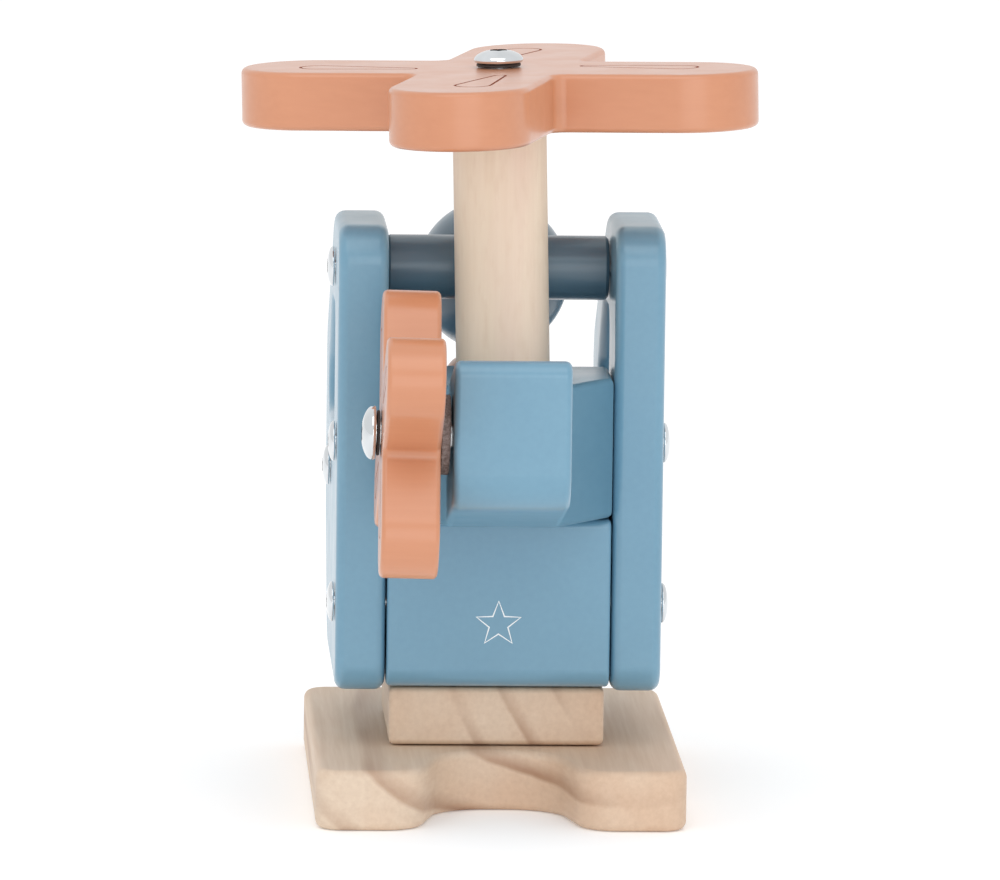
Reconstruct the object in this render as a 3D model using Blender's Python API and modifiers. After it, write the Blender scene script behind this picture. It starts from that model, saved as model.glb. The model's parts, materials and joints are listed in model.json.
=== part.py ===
"""Wooden toy helicopter: two painted side plates on a pine skid plate, a peg pilot,
a four-blade rotor on a beech mast and a small four-blade rotor on the tail boom.

+X is the right side, +Y the nose, +Z up.  The origin is the middle of the underside
of the skid plate, which stands on the ground.
"""
import math

import bmesh
import bpy
from mathutils import Matrix, Vector

MM = 0.001
GAP = 0.3 * MM                      # clearance between pieces that touch or run in each other
OVERRUN = 1.0 * MM                  # how far a cutter starts or ends outside what it cuts

# ---- driving dimensions -------------------------------------------------------------

BASE_WIDTH = 88.0 * MM
BASE_LENGTH = 124.0 * MM
BASE_THICKNESS = 14.5 * MM
BASE_NOTCH_DEPTH = 29.0 * MM
BASE_FOOT_WIDTH = 24.5 * MM
BASE_NOTCH_FLOOR = 26.0 * MM        # width of a notch's end, before its corners are rounded
BASE_CORNER_RADIUS = 6.0 * MM
BASE_TOE_RADIUS = 10.0 * MM         # where a notch opens
BASE_NOTCH_RADIUS = 13.0 * MM       # where a notch ends
BASE_EDGE_RADIUS = 2.0 * MM

RISER_WIDTH = 51.6 * MM
RISER_LENGTH = 54.0 * MM
RISER_HEIGHT = 14.0 * MM
RISER_EDGE_RADIUS = 1.5 * MM

CABIN_WIDTH = 54.0 * MM             # clear width between the side plates
PLATE_THICKNESS = 12.0 * MM
PLATE_REAR = -32.0 * MM
PLATE_NOSE = 65.0 * MM
PLATE_BOTTOM = 28.1 * MM
PLATE_TOP = 140.0 * MM
PLATE_EDGE_RADIUS = 2.5 * MM
CHIN_Y = 42.0 * MM                  # where the underside turns up to the nose
NOSE_LOW = 62.0 * MM
NOSE_HIGH = 104.0 * MM
ROOF_FRONT = 11.6 * MM              # top of the windscreen line
CHIN_RADIUS = 20.0 * MM
NOSE_LOW_RADIUS = 30.0 * MM
NOSE_HIGH_RADIUS = 14.0 * MM
ROOF_FRONT_RADIUS = 26.0 * MM
PLATE_REAR_LOW_RADIUS = 7.0 * MM
PLATE_REAR_HIGH_RADIUS = 9.0 * MM

WINDOW_REAR = -4.0 * MM
WINDOW_SILL = 88.0 * MM
WINDOW_SILL_FRONT = 53.0 * MM
WINDOW_TOP = 116.4 * MM
WINDOW_TOP_FRONT = 23.0 * MM
WINDOW_REAR_RADIUS = 5.0 * MM
WINDOW_SILL_RADIUS = 7.0 * MM
WINDOW_TOP_RADIUS = 6.0 * MM

BOOM_BOTTOM = 70.8 * MM
BOOM_TOP = 104.5 * MM
BOOM_FRONT = -8.0 * MM
BOOM_BEND = -48.0 * MM              # where the boom narrows and starts to climb
BOOM_END = -95.0 * MM
BOOM_END_BOTTOM = 82.3 * MM
BOOM_END_TOP = 117.4 * MM
BOOM_ARM_WIDTH = 27.4 * MM
BOOM_EDGE_RADIUS = 2.4 * MM

FLOOR_BOTTOM = 29.3 * MM
FLOOR_TOP = 70.2 * MM
FLOOR_FRONT = 40.0 * MM
FLOOR_LOW_RADIUS = 5.0 * MM
FLOOR_TOP_RADIUS = 2.0 * MM
FLOOR_EDGE_RADIUS = 1.0 * MM

SEAT_REAR = 6.0 * MM
SEAT_FRONT = 42.0 * MM
SEAT_THICKNESS = 9.6 * MM
SEAT_EDGE_RADIUS = 1.5 * MM

DOWEL_RADIUS = 7.75 * MM
DOWEL_Y = -1.5 * MM
DOWEL_Z = 127.2 * MM
DOWEL_CHAMFER = 0.8 * MM

MAST_RADIUS = 11.2 * MM
MAST_X = 0.8 * MM                   # where the mast's axis meets the boom's top
MAST_Y = -21.0 * MM
MAST_LEAN_LEFT = math.radians(1.5)
MAST_LEAN_FORWARD = math.radians(0.4)
MAST_TOP = 163.0 * MM               # heights on the mast are those it would have upright
MAST_CHAMFER = 0.6 * MM
TENON_RADIUS = 6.0 * MM
TENON_LENGTH = 19.0 * MM

ROTOR_SPAN = 124.9 * MM
ROTOR_BLADE_WIDTH = 33.6 * MM
ROTOR_THICKNESS = 13.9 * MM
ROTOR_VALLEY_RADIUS = 3.0 * MM      # fillet between two blades
ROTOR_EDGE_RADIUS = 1.4 * MM
ROTOR_TURN = math.radians(-13.9)    # rest angle of the main rotor, seen from above

TAIL_SPAN = 73.0 * MM
TAIL_BLADE_WIDTH = 20.4 * MM
TAIL_THICKNESS = 13.6 * MM
TAIL_VALLEY_RADIUS = 2.0 * MM
TAIL_EDGE_RADIUS = 1.2 * MM
TAIL_TURN = math.radians(35.0)      # how far the rear blade points above the horizontal
TAIL_Y = -81.5 * MM                 # where the tail rotor's axis leaves the boom's left face
TAIL_Z = 97.5 * MM
TAIL_TILT = math.radians(1.3)       # how far that axis rises on its way out
SPACER_RADIUS = 9.35 * MM
SPACER_THICKNESS = 2.1 * MM

HUB_SHANK_RADIUS = 3.0 * MM
HUB_SHANK_LENGTH = 34.0 * MM
HUB_INSERT_RADIUS = 4.6 * MM
HUB_INSERT_LENGTH = 14.0 * MM
HUB_WASHER_RADIUS = 5.3 * MM
HUB_WASHER_THICKNESS = 0.7 * MM
HUB_RIM = 0.5 * MM                  # upright edge of a hub screw's head
HUB_RIM_CHAMFER = 0.3 * MM
HUB_TIP = 1.0 * MM                  # length and depth of the taper at a hub screw's tip
MAIN_HEAD_RADIUS = 5.9 * MM
MAIN_HEAD_HEIGHT = 3.0 * MM
TAIL_HEAD_RADIUS = 6.4 * MM
TAIL_HEAD_HEIGHT = 3.3 * MM
TAIL_BORE_DEPTH = 24.0 * MM         # from the arm's left face, past the insert

SIDE_HEAD_RADIUS = 4.8 * MM
SIDE_HEAD_HEIGHT = 1.7 * MM
SIDE_SHANK_RADIUS = 2.0 * MM
SIDE_SHANK_LENGTH = 25.0 * MM
SIDE_TIP = 3.0 * MM
SIDE_RIM = 0.2 * MM
BOOM_SCREW_Y = -22.0 * MM
SEAT_SCREW_Y = 24.0 * MM
FLOOR_SCREW_Y = -23.0 * MM
FLOOR_SCREW_Z = 49.0 * MM

BASE_SCREW_HEAD_RADIUS = 4.0 * MM
BASE_SCREW_SHANK_RADIUS = 2.0 * MM
BASE_SCREW_LENGTH = 42.0 * MM
BASE_SCREW_SPACING = 26.0 * MM
BASE_SCREW_SUNK = 1.2 * MM          # depth of the head below the underside
BASE_SCREW_RIM = 1.0 * MM
BASE_SCREW_CONE_TOP = 3.4 * MM
BASE_SCREW_TIP = 4.0 * MM
BASE_RECESS_DEPTH = 5.0 * MM

PILOT_Y = 25.2 * MM
HEAD_RADIUS = 18.6 * MM
HEAD_Z = 121.9 * MM
PIN_RADIUS = 3.0 * MM
PIN_DEPTH = 6.0 * MM                # into the seat board
PIN_TOP_BELOW_CENTRE = 4.0 * MM     # of the head
NECK_GAP = 1.2 * MM
NECK_RADIUS = 6.5 * MM
SHOULDER_RADIUS = 11.5 * MM
SHOULDER_DROP = 6.0 * MM
SKIRT_RADIUS = 13.5 * MM
SKIRT_CHAMFER = 0.8 * MM

# ---- places worked out from the driving dimensions ----------------------------------

RISER_BOTTOM = BASE_THICKNESS + GAP
RISER_TOP = RISER_BOTTOM + RISER_HEIGHT
BLOCK_WIDTH = CABIN_WIDTH - 2 * GAP
SEAT_BOTTOM = FLOOR_TOP + GAP
SEAT_TOP = SEAT_BOTTOM + SEAT_THICKNESS
BOOM_CENTRE_Z = (BOOM_BOTTOM + BOOM_TOP) / 2
MAST_FOOT = BOOM_TOP + 2 * GAP
ROTOR_Z = MAST_TOP + 2 * GAP + ROTOR_THICKNESS / 2
SPACER_OUT = 2 * GAP + SPACER_THICKNESS / 2
TAIL_OUT = SPACER_OUT + SPACER_THICKNESS / 2 + GAP + TAIL_THICKNESS / 2
PLATE_X = (CABIN_WIDTH + PLATE_THICKNESS) / 2

SIDE_SCREWS = {
    "roof": (DOWEL_Y, DOWEL_Z),
    "boom": (BOOM_SCREW_Y, BOOM_CENTRE_Z),
    "seat": (SEAT_SCREW_Y, (SEAT_BOTTOM + SEAT_TOP) / 2),
    "floor": (FLOOR_SCREW_Y, FLOOR_SCREW_Z),
}

# ---- collections and materials ------------------------------------------------------

for old in list(bpy.data.objects):
    bpy.data.objects.remove(old, do_unlink=True)

PARTS = bpy.data.collections.new("toy_helicopter")
CUTTERS = bpy.data.collections.new("cutters")
bpy.context.scene.collection.children.link(PARTS)
bpy.context.scene.collection.children.link(CUTTERS)

FINISHES = {
    "blue_paint": ((0.20, 0.36, 0.47), 0.45, 0.0),
    "terracotta_paint": ((0.72, 0.35, 0.20), 0.45, 0.0),
    "beech": ((0.78, 0.62, 0.46), 0.55, 0.0),
    "pine": ((0.70, 0.50, 0.35), 0.60, 0.0),
    "grey_fibre": ((0.30, 0.26, 0.24), 0.85, 0.0),
    "dark_nylon": ((0.06, 0.05, 0.05), 0.50, 0.0),
    "chrome": ((0.80, 0.82, 0.83), 0.12, 1.0),
    "zinc": ((0.60, 0.60, 0.60), 0.35, 1.0),
    "brass": ((0.72, 0.53, 0.25), 0.30, 1.0),
}


def give_material(piece, finish):
    """Make the piece its own Principled material in the named finish."""
    colour, roughness, metallic = FINISHES[finish]
    material = bpy.data.materials.new(piece.name + "_" + finish)
    material.use_nodes = True
    shader = material.node_tree.nodes["Principled BSDF"]
    shader.inputs["Base Color"].default_value = (*colour, 1.0)
    shader.inputs["Roughness"].default_value = roughness
    shader.inputs["Metallic"].default_value = metallic
    piece.data.materials.clear()
    piece.data.materials.append(material)


# ---- placing frames: local x, y, z axes given as world directions -------------------

def frame(origin, x_axis, y_axis, z_axis):
    axes = Matrix((x_axis, y_axis, z_axis)).transposed().to_4x4()
    return Matrix.Translation(Vector(origin)) @ axes


def flat_frame(x, y, z):
    """Outline in plan, thickness along Z."""
    return Matrix.Translation(Vector((x, y, z)))


def side_frame(x, y=0.0, z=0.0):
    """Outline in side view (local x to the nose, local y up), thickness along X."""
    return frame((x, y, z), (0, 1, 0), (0, 0, 1), (1, 0, 0))


def axis_frame(point, direction):
    """Local z along the direction, for turned pieces."""
    turn = Vector(direction).to_track_quat("Z", "Y").to_matrix().to_4x4()
    return Matrix.Translation(Vector(point)) @ turn


def mast_frame(height):
    """Local z along the leaning mast, at a height given as if the mast stood upright."""
    lean = (Matrix.Rotation(-MAST_LEAN_LEFT, 4, "Y")
            @ Matrix.Rotation(-MAST_LEAN_FORWARD, 4, "X"))
    foot = Matrix.Translation((MAST_X, MAST_Y, BOOM_TOP))
    return foot @ lean @ Matrix.Translation((0, 0, height - BOOM_TOP))


def mast_point(height):
    return mast_frame(height).translation


def tail_frame(distance):
    """A side frame square to the tail rotor's axis, at a distance out from the boom's face."""
    face = Matrix.Translation((-BOOM_ARM_WIDTH / 2, TAIL_Y, TAIL_Z))
    tilt = Matrix.Rotation(TAIL_TILT, 4, "Y")
    return face @ tilt @ side_frame(0) @ Matrix.Translation((0, 0, -distance))


def tail_point(distance):
    return tail_frame(distance).translation


# ---- outlines -----------------------------------------------------------------------

def rounded(corners, step=math.radians(18)):
    """Closed outline through (x, y, radius) corners, each rounded by an arc."""
    outline = []
    count = len(corners)
    for index, (x, y, radius) in enumerate(corners):
        here = Vector((x, y))
        before = (Vector(corners[index - 1][:2]) - here).normalized()
        after = (Vector(corners[(index + 1) % count][:2]) - here).normalized()
        half = before.angle(after) / 2
        centre = here + (before + after).normalized() * (radius / math.sin(half))
        start = here + before * (radius / math.tan(half)) - centre
        sweep = math.pi - 2 * half
        turn = math.copysign(sweep, before.x * after.y - before.y * after.x)
        pieces = max(2, math.ceil(sweep / step))
        for k in range(pieces + 1):
            point = centre + Matrix.Rotation(-turn * k / pieces, 2) @ start
            outline.append((point.x, point.y))
    return outline


def cross(span, width, valley, end_pieces=10, valley_pieces=4):
    """Four equal blades with round ends; small arcs fill the valleys between them."""
    half = width / 2
    end_centre = span / 2 - half
    valley_centre = half + valley
    quarter = []
    for k in range(end_pieces + 1):
        angle = -math.pi / 2 + math.pi * k / end_pieces
        quarter.append(Vector((end_centre + half * math.cos(angle), half * math.sin(angle))))
    for k in range(valley_pieces + 1):
        angle = math.radians(270 - 90 * k / valley_pieces)
        arc = Vector((math.cos(angle), math.sin(angle)))
        quarter.append(Vector((valley_centre, valley_centre)) + arc * valley)
    outline = []
    for blade in range(4):
        turn = Matrix.Rotation(blade * math.pi / 2, 2)
        outline += [tuple(turn @ point) for point in quarter]
    return outline


# ---- solids -------------------------------------------------------------------------

def link_part(name, data, matrix, finish):
    piece = bpy.data.objects.new(name, data)
    PARTS.objects.link(piece)
    piece.matrix_world = matrix
    give_material(piece, finish)
    return piece


def mesh_from_curve(curve_object):
    """The curve's surface as a mesh with its caps welded on."""
    bpy.context.view_layer.update()
    evaluated = curve_object.evaluated_get(bpy.context.evaluated_depsgraph_get())
    mesh = bpy.data.meshes.new_from_object(evaluated)
    bm = bmesh.new()
    bm.from_mesh(mesh)
    bmesh.ops.remove_doubles(bm, verts=bm.verts, dist=1e-6)
    bmesh.ops.recalc_face_normals(bm, faces=bm.faces)
    bm.to_mesh(mesh)
    bm.free()
    bpy.data.objects.remove(curve_object, do_unlink=True)
    mesh.shade_smooth()
    mesh.set_sharp_from_angle(angle=math.radians(40))
    return mesh


def board_mesh(name, outlines, thickness, edge_radius, edge_pieces=1):
    """A flat board with rounded edges; outlines after the first are holes in it."""
    curve = bpy.data.curves.new(name, "CURVE")
    curve.dimensions = "2D"
    curve.fill_mode = "BOTH"
    curve.extrude = thickness / 2 - edge_radius
    curve.bevel_depth = edge_radius
    curve.bevel_resolution = edge_pieces
    curve.offset = -edge_radius
    for outline in outlines:
        spline = curve.splines.new("POLY")
        spline.points.add(len(outline) - 1)
        for point, (x, y) in zip(spline.points, outline):
            point.co = (x, y, 0.0, 1.0)
        spline.use_cyclic_u = True
    outline_object = bpy.data.objects.new(name + "_outline", curve)
    CUTTERS.objects.link(outline_object)
    return mesh_from_curve(outline_object)


def turned_mesh(name, profile, sides=20):
    """A turned solid from an (radius, height) profile that runs from top to bottom."""
    mesh = bpy.data.meshes.new(name)
    bm = bmesh.new()
    verts = [bm.verts.new((radius, 0.0, height)) for radius, height in profile]
    for upper, lower in zip(verts, verts[1:]):
        bm.edges.new((upper, lower))
    bm.to_mesh(mesh)
    bm.free()
    guide = bpy.data.objects.new(name + "_profile", mesh)
    CUTTERS.objects.link(guide)
    screw = guide.modifiers.new("turn", "SCREW")
    screw.axis = "Z"
    screw.steps = sides
    screw.render_steps = sides
    screw.use_merge_vertices = True
    screw.merge_threshold = 1e-6
    return mesh_from_curve(guide)


def block(name, low, high, edge_radius, finish):
    """A box between two corners with its edges rounded by a Bevel modifier."""
    low = Vector(low)
    high = Vector(high)
    size = high - low
    mesh = bpy.data.meshes.new(name)
    bm = bmesh.new()
    bmesh.ops.create_cube(bm, size=1.0, matrix=Matrix.Diagonal((*size, 1.0)))
    bm.to_mesh(mesh)
    bm.free()
    piece = link_part(name, mesh, Matrix.Translation((low + high) / 2), finish)
    round_edges(piece, edge_radius)
    return piece


def round_edges(piece, radius, pieces=2, angle=30):
    """Bevel every edge that turns by more than the angle, in degrees."""
    bevel = piece.modifiers.new("rounded_edges", "BEVEL")
    bevel.width = radius
    bevel.segments = pieces
    bevel.limit_method = "ANGLE"
    bevel.angle_limit = math.radians(angle)


def hide_as_cutter(cutter):
    cutter.hide_render = True
    cutter.display_type = "WIRE"


def bore(piece, start, end, radius, sides=20):
    """Cut a round hole from start to end through the piece."""
    start = Vector(start)
    end = Vector(end)
    mesh = bpy.data.meshes.new(piece.name + "_bore")
    bm = bmesh.new()
    bmesh.ops.create_cone(bm, cap_ends=True, segments=sides, radius1=radius, radius2=radius,
                          depth=(end - start).length)
    bm.to_mesh(mesh)
    bm.free()
    cutter = bpy.data.objects.new(piece.name + "_bore", mesh)
    CUTTERS.objects.link(cutter)
    cutter.matrix_world = axis_frame((start + end) / 2, end - start)
    cut(piece, cutter)


def cut(piece, cutter, operation="DIFFERENCE"):
    hide_as_cutter(cutter)
    boolean = piece.modifiers.new(operation.lower(), "BOOLEAN")
    boolean.operation = operation
    boolean.object = cutter
    boolean.solver = "EXACT"


# ---- skid plate and riser -----------------------------------------------------------

def base_screw_places():
    return [("rear", -BASE_SCREW_SPACING / 2), ("front", BASE_SCREW_SPACING / 2)]


def base_outline():
    """A plate with a wide S-sided notch in its front and rear edges."""
    half_width = BASE_WIDTH / 2
    half_length = BASE_LENGTH / 2
    foot_inner = half_width - BASE_FOOT_WIDTH
    half_floor = BASE_NOTCH_FLOOR / 2
    notch = half_length - BASE_NOTCH_DEPTH
    rear = [
        (half_width, -half_length, BASE_CORNER_RADIUS),
        (foot_inner, -half_length, BASE_TOE_RADIUS),
        (half_floor, -notch, BASE_NOTCH_RADIUS),
        (-half_floor, -notch, BASE_NOTCH_RADIUS),
        (-foot_inner, -half_length, BASE_TOE_RADIUS),
        (-half_width, -half_length, BASE_CORNER_RADIUS),
    ]
    front = [(-x, -y, radius) for x, y, radius in rear]
    return rounded(rear + front)


def make_base():
    mesh = board_mesh("skid_base", [base_outline()], BASE_THICKNESS, BASE_EDGE_RADIUS)
    base = link_part("skid_base", mesh, flat_frame(0, 0, BASE_THICKNESS / 2), "pine")
    riser = block("riser_block",
                  (-RISER_WIDTH / 2, -RISER_LENGTH / 2, RISER_BOTTOM),
                  (RISER_WIDTH / 2, RISER_LENGTH / 2, RISER_TOP),
                  RISER_EDGE_RADIUS, "pine")
    clearance = BASE_SCREW_SHANK_RADIUS + GAP
    recess = BASE_SCREW_HEAD_RADIUS + GAP
    for _, y in base_screw_places():
        bore(base, (0, y, -OVERRUN), (0, y, BASE_RECESS_DEPTH), recess)
        bore(base, (0, y, -2 * OVERRUN), (0, y, BASE_THICKNESS + OVERRUN), clearance)
        bore(riser, (0, y, RISER_BOTTOM - OVERRUN), (0, y, RISER_TOP + OVERRUN), clearance)


def make_base_screws():
    """Flat-headed wood screws that hold the base and riser to the floor block."""
    head = BASE_SCREW_HEAD_RADIUS
    shank = BASE_SCREW_SHANK_RADIUS
    length = BASE_SCREW_LENGTH
    profile = [
        (0.0, length),
        (shank, length - BASE_SCREW_TIP),
        (shank, BASE_SCREW_CONE_TOP),
        (head, BASE_SCREW_RIM),
        (head, 0.0),
        (0.0, 0.0),
    ]
    mesh = turned_mesh("base_screw", profile, sides=14)
    for side, y in base_screw_places():
        link_part("base_screw_" + side, mesh.copy(), flat_frame(0, y, BASE_SCREW_SUNK), "zinc")


# ---- body ---------------------------------------------------------------------------

def plate_outline():
    return rounded([
        (PLATE_REAR, PLATE_BOTTOM, PLATE_REAR_LOW_RADIUS),
        (CHIN_Y, PLATE_BOTTOM, CHIN_RADIUS),
        (PLATE_NOSE, NOSE_LOW, NOSE_LOW_RADIUS),
        (PLATE_NOSE, NOSE_HIGH, NOSE_HIGH_RADIUS),
        (ROOF_FRONT, PLATE_TOP, ROOF_FRONT_RADIUS),
        (PLATE_REAR, PLATE_TOP, PLATE_REAR_HIGH_RADIUS),
    ])


def window_outline():
    """Upright rear edge, front edge leaning back along the windscreen line."""
    return rounded([
        (WINDOW_REAR, WINDOW_SILL, WINDOW_REAR_RADIUS),
        (WINDOW_SILL_FRONT, WINDOW_SILL, WINDOW_SILL_RADIUS),
        (WINDOW_TOP_FRONT, WINDOW_TOP, WINDOW_TOP_RADIUS),
        (WINDOW_REAR, WINDOW_TOP, WINDOW_REAR_RADIUS),
    ])


def make_side_plates():
    clearance = SIDE_SHANK_RADIUS + GAP
    for side, sign in (("left", -1), ("right", 1)):
        name = "side_plate_" + side
        mesh = board_mesh(name, [plate_outline(), window_outline()], PLATE_THICKNESS,
                          PLATE_EDGE_RADIUS)
        plate = link_part(name, mesh, side_frame(sign * PLATE_X), "blue_paint")
        for y, z in SIDE_SCREWS.values():
            reach = PLATE_THICKNESS
            bore(plate, (sign * PLATE_X - reach, y, z), (sign * PLATE_X + reach, y, z),
                 clearance, sides=16)


def bore_for_side_screws(piece, which):
    """Blind holes in both ends of a cross piece for its side screws."""
    y, z = SIDE_SCREWS[which]
    depth = SIDE_SHANK_LENGTH + OVERRUN
    outer = CABIN_WIDTH / 2 + PLATE_THICKNESS
    for sign in (-1, 1):
        bore(piece, (sign * (outer - depth), y, z), (sign * outer, y, z),
             SIDE_SHANK_RADIUS + GAP, sides=16)


def make_floor_block():
    outline = rounded([
        (PLATE_REAR, FLOOR_BOTTOM, FLOOR_LOW_RADIUS),
        (FLOOR_FRONT, FLOOR_BOTTOM, FLOOR_LOW_RADIUS),
        (FLOOR_FRONT, FLOOR_TOP, FLOOR_TOP_RADIUS),
        (PLATE_REAR, FLOOR_TOP, FLOOR_TOP_RADIUS),
    ])
    mesh = board_mesh("floor_block", [outline], BLOCK_WIDTH, FLOOR_EDGE_RADIUS)
    floor = link_part("floor_block", mesh, side_frame(0), "blue_paint")
    bore_for_side_screws(floor, "floor")
    for _, y in base_screw_places():
        bore(floor, (0, y, FLOOR_BOTTOM - OVERRUN),
             (0, y, BASE_SCREW_SUNK + BASE_SCREW_LENGTH + OVERRUN),
             BASE_SCREW_SHANK_RADIUS + GAP)


def make_seat_board():
    seat = block("seat_board",
                 (-BLOCK_WIDTH / 2, SEAT_REAR, SEAT_BOTTOM),
                 (BLOCK_WIDTH / 2, SEAT_FRONT, SEAT_TOP), SEAT_EDGE_RADIUS, "blue_paint")
    bore_for_side_screws(seat, "seat")
    bore(seat, (0, PILOT_Y, SEAT_TOP - PIN_DEPTH), (0, PILOT_Y, SEAT_TOP + OVERRUN),
         PIN_RADIUS + GAP)


def make_roof_dowel():
    half = BLOCK_WIDTH / 2
    profile = [
        (0.0, half),
        (DOWEL_RADIUS - DOWEL_CHAMFER, half),
        (DOWEL_RADIUS, half - DOWEL_CHAMFER),
        (DOWEL_RADIUS, DOWEL_CHAMFER - half),
        (DOWEL_RADIUS - DOWEL_CHAMFER, -half),
        (0.0, -half),
    ]
    mesh = turned_mesh("roof_dowel", profile, sides=28)
    dowel = link_part("roof_dowel", mesh, axis_frame((0, DOWEL_Y, DOWEL_Z), (1, 0, 0)),
                      "blue_paint")
    bore_for_side_screws(dowel, "roof")


def make_tail_boom():
    """The boom's side profile, narrowed by its plan outline, then rounded and bored."""
    profile = [
        (BOOM_FRONT, BOOM_BOTTOM),
        (BOOM_FRONT, BOOM_TOP),
        (BOOM_BEND, BOOM_TOP),
        (BOOM_END, BOOM_END_TOP),
        (BOOM_END, BOOM_END_BOTTOM),
        (BOOM_BEND, BOOM_BOTTOM),
    ]
    half_block = BLOCK_WIDTH / 2
    half_arm = BOOM_ARM_WIDTH / 2
    right_edge = [
        (half_block, BOOM_FRONT + OVERRUN),
        (half_block, PLATE_REAR),
        (half_arm, BOOM_BEND),
        (half_arm, BOOM_END - OVERRUN),
    ]
    left_edge = [(-x, y) for x, y in reversed(right_edge)]
    blank = board_mesh("tail_boom", [profile], BLOCK_WIDTH + 2 * OVERRUN, 0.0)
    boom = link_part("tail_boom", blank, side_frame(0), "blue_paint")
    plan_height = 4 * (BOOM_TOP - BOOM_BOTTOM)
    plan = board_mesh("boom_plan", [right_edge + left_edge], plan_height, 0.0)
    plan_cutter = bpy.data.objects.new("boom_plan", plan)
    CUTTERS.objects.link(plan_cutter)
    plan_cutter.matrix_world = flat_frame(0, 0, BOOM_CENTRE_Z)
    cut(boom, plan_cutter, "INTERSECT")
    round_edges(boom, BOOM_EDGE_RADIUS, pieces=3, angle=20)

    bore_for_side_screws(boom, "boom")
    bore(boom, mast_point(MAST_FOOT - TENON_LENGTH - OVERRUN), mast_point(BOOM_TOP + OVERRUN),
         TENON_RADIUS + GAP)
    bore(boom, tail_point(OVERRUN), tail_point(-HUB_INSERT_LENGTH - 2 * GAP),
         HUB_INSERT_RADIUS + GAP)
    bore(boom, tail_point(0), tail_point(-TAIL_BORE_DEPTH), HUB_SHANK_RADIUS + GAP)


# ---- rotors and mast ----------------------------------------------------------------

def hub_screw_profile(head_radius, head_height):
    """Domed head on a short rim, then a plain shank; the head's underside is at 0."""
    dome = [(0.0, head_height)]
    steps = 6
    for k in range(1, steps + 1):
        angle = math.pi / 2 * k / steps
        dome.append((head_radius * math.sin(angle),
                     HUB_RIM + (head_height - HUB_RIM) * math.cos(angle)))
    return dome + [
        (head_radius - HUB_RIM_CHAMFER, 0.0),
        (HUB_SHANK_RADIUS, 0.0),
        (HUB_SHANK_RADIUS, HUB_TIP - HUB_SHANK_LENGTH),
        (HUB_SHANK_RADIUS - HUB_TIP, -HUB_SHANK_LENGTH),
        (0.0, -HUB_SHANK_LENGTH),
    ]


def ring_profile(outer, inner, thickness):
    """Closed rectangular section of a ring, from its top outer edge round and back."""
    half = thickness / 2
    return [(outer, half), (outer, -half), (inner, -half), (inner, half), (outer, half)]


def make_ring(name, outer, inner, thickness, matrix, finish, sides=28):
    mesh = turned_mesh(name, ring_profile(outer, inner, thickness), sides)
    return link_part(name, mesh, matrix, finish)


def make_mast():
    half_bore = HUB_INSERT_RADIUS + GAP
    insert_depth = HUB_INSERT_LENGTH + 2 * GAP
    screw_depth = HUB_SHANK_LENGTH - ROTOR_THICKNESS
    profile = [
        (0.0, MAST_TOP - screw_depth),
        (HUB_SHANK_RADIUS + GAP, MAST_TOP - screw_depth),
        (HUB_SHANK_RADIUS + GAP, MAST_TOP - insert_depth),
        (half_bore, MAST_TOP - insert_depth),
        (half_bore, MAST_TOP),
        (MAST_RADIUS - MAST_CHAMFER, MAST_TOP),
        (MAST_RADIUS, MAST_TOP - MAST_CHAMFER),
        (MAST_RADIUS, MAST_FOOT),
        (TENON_RADIUS, MAST_FOOT),
        (TENON_RADIUS, MAST_FOOT - TENON_LENGTH),
        (0.0, MAST_FOOT - TENON_LENGTH),
    ]
    mesh = turned_mesh("rotor_mast", profile, sides=32)
    link_part("rotor_mast", mesh, mast_frame(0), "beech")
    make_ring("mast_insert", HUB_INSERT_RADIUS, HUB_SHANK_RADIUS + GAP, HUB_INSERT_LENGTH,
              mast_frame(MAST_TOP - GAP - HUB_INSERT_LENGTH / 2), "brass", sides=20)


def make_main_rotor():
    """The main rotor's object origin lies on its turning axis."""
    outline = cross(ROTOR_SPAN, ROTOR_BLADE_WIDTH, ROTOR_VALLEY_RADIUS, end_pieces=12)
    mesh = board_mesh("main_rotor", [outline], ROTOR_THICKNESS, ROTOR_EDGE_RADIUS)
    turn = Matrix.Rotation(ROTOR_TURN, 4, "Z")
    rotor = link_part("main_rotor", mesh, mast_frame(ROTOR_Z) @ turn, "terracotta_paint")
    top = ROTOR_Z + ROTOR_THICKNESS / 2
    bore(rotor, mast_point(top - ROTOR_THICKNESS - OVERRUN), mast_point(top + OVERRUN),
         HUB_SHANK_RADIUS + GAP)

    washer_z = top + GAP + HUB_WASHER_THICKNESS / 2
    make_ring("main_rotor_washer", HUB_WASHER_RADIUS, HUB_SHANK_RADIUS + GAP, HUB_WASHER_THICKNESS,
              mast_frame(washer_z), "dark_nylon")
    head_z = washer_z + HUB_WASHER_THICKNESS / 2 + GAP
    profile = hub_screw_profile(MAIN_HEAD_RADIUS, MAIN_HEAD_HEIGHT)
    screw = turned_mesh("main_rotor_screw", profile, sides=24)
    link_part("main_rotor_screw", screw, mast_frame(head_z), "chrome")


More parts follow.
